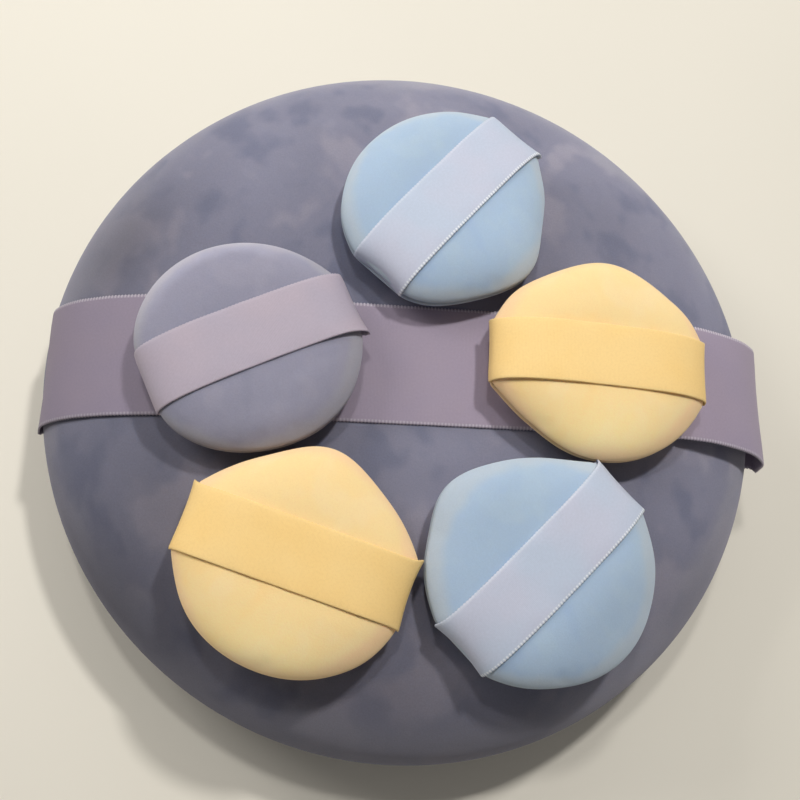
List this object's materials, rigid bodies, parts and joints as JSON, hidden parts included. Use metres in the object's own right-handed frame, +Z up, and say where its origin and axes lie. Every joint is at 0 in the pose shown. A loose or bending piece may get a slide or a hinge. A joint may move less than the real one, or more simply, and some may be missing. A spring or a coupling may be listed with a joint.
{
  "type": "powder puff",
  "caption": "Round velour body puff with a woven hand band, carrying small face puffs that each have a narrow band over the back.",
  "frame": {"origin": "middle of the flat on which the large puff stands", "axes": "+Z up, square to the standing flat; +X along the large puff's band, towards the end that stands off the rim"},
  "size_m": [0.2043, 0.1998, 0.0647],
  "materials": {
    "large_cover": "short grey violet velour, brushed",
    "large_band": "dull woven grey mauve ribbon",
    "large_thread": "matching sewing thread",
    "lilac_cover": "short grey lilac velour",
    "lilac_band": "dull woven mauve ribbon",
    "lilac_thread": "matching sewing thread",
    "blue_cover": "short pale blue velour",
    "blue_band": "dull woven pale blue ribbon",
    "blue_thread": "matching sewing thread",
    "yellow_cover": "short pale yellow velour",
    "yellow_band": "dull woven yellow ribbon",
    "yellow_thread": "matching sewing thread",
    "foam": "soft off white foam"
  },
  "bodies": {
    "large_puff": {"large_back_cover": "large_cover", "large_face_cover": "large_cover", "large_foam_core": "foam", "large_seam_thread": "large_thread"},
    "large_band": {"large_ribbon": "large_band"},
    "lilac_puff": {"lilac_back_cover": "lilac_cover", "lilac_face_cover": "lilac_cover", "lilac_foam_core": "foam", "lilac_seam_thread": "lilac_thread"},
    "lilac_band": {"lilac_ribbon": "lilac_band"},
    "blue_top_puff": {"blue_top_back_cover": "blue_cover", "blue_top_face_cover": "blue_cover", "blue_top_foam_core": "foam", "blue_top_seam_thread": "blue_thread"},
    "blue_top_band": {"blue_top_ribbon": "blue_band"},
    "yellow_right_puff": {"yellow_right_back_cover": "yellow_cover", "yellow_right_face_cover": "yellow_cover", "yellow_right_foam_core": "foam", "yellow_right_seam_thread": "yellow_thread"},
    "yellow_right_band": {"yellow_right_ribbon": "yellow_band"},
    "yellow_low_puff": {"yellow_low_back_cover": "yellow_cover", "yellow_low_face_cover": "yellow_cover", "yellow_low_foam_core": "foam", "yellow_low_seam_thread": "yellow_thread"},
    "yellow_low_band": {"yellow_low_ribbon": "yellow_band"},
    "blue_low_puff": {"blue_low_back_cover": "blue_cover", "blue_low_face_cover": "blue_cover", "blue_low_foam_core": "foam", "blue_low_seam_thread": "blue_thread"},
    "blue_low_band": {"blue_low_ribbon": "blue_band"}
  },
  "joints": [
    {"name": "large_band_lift", "type": "slide", "parent": "large_puff", "child": "large_band", "axis": [0, 0, 1], "range_m": [0, 0.015], "deforming": ["large_ribbon"]},
    {"name": "lilac_lift", "type": "slide", "parent": "large_band", "child": "lilac_puff", "axis": [0, 0, 1], "range_m": [0, 0.04]},
    {"name": "lilac_band_lift", "type": "slide", "parent": "lilac_puff", "child": "lilac_band", "axis": [0, 0, 1], "range_m": [0, 0.008], "deforming": ["lilac_ribbon"]},
    {"name": "blue_top_lift", "type": "slide", "parent": "large_puff", "child": "blue_top_puff", "axis": [0, 0, 1], "range_m": [0, 0.04]},
    {"name": "blue_top_band_lift", "type": "slide", "parent": "blue_top_puff", "child": "blue_top_band", "axis": [0, 0, 1], "range_m": [0, 0.008], "deforming": ["blue_top_ribbon"]},
    {"name": "yellow_right_lift", "type": "slide", "parent": "large_band", "child": "yellow_right_puff", "axis": [0, 0, 1], "range_m": [0, 0.04]},
    {"name": "yellow_right_band_lift", "type": "slide", "parent": "yellow_right_puff", "child": "yellow_right_band", "axis": [0, 0, 1], "range_m": [0, 0.008], "deforming": ["yellow_right_ribbon"]},
    {"name": "yellow_low_lift", "type": "slide", "parent": "large_puff", "child": "yellow_low_puff", "axis": [0, 0, 1], "range_m": [0, 0.04]},
    {"name": "yellow_low_band_lift", "type": "slide", "parent": "yellow_low_puff", "child": "yellow_low_band", "axis": [0, 0, 1], "range_m": [0, 0.008], "deforming": ["yellow_low_ribbon"]},
    {"name": "blue_low_lift", "type": "slide", "parent": "large_puff", "child": "blue_low_puff", "axis": [0, 0, 1], "range_m": [0, 0.04]},
    {"name": "blue_low_band_lift", "type": "slide", "parent": "blue_low_puff", "child": "blue_low_band", "axis": [0, 0, 1], "range_m": [0, 0.008], "deforming": ["blue_low_ribbon"]}
  ]
}
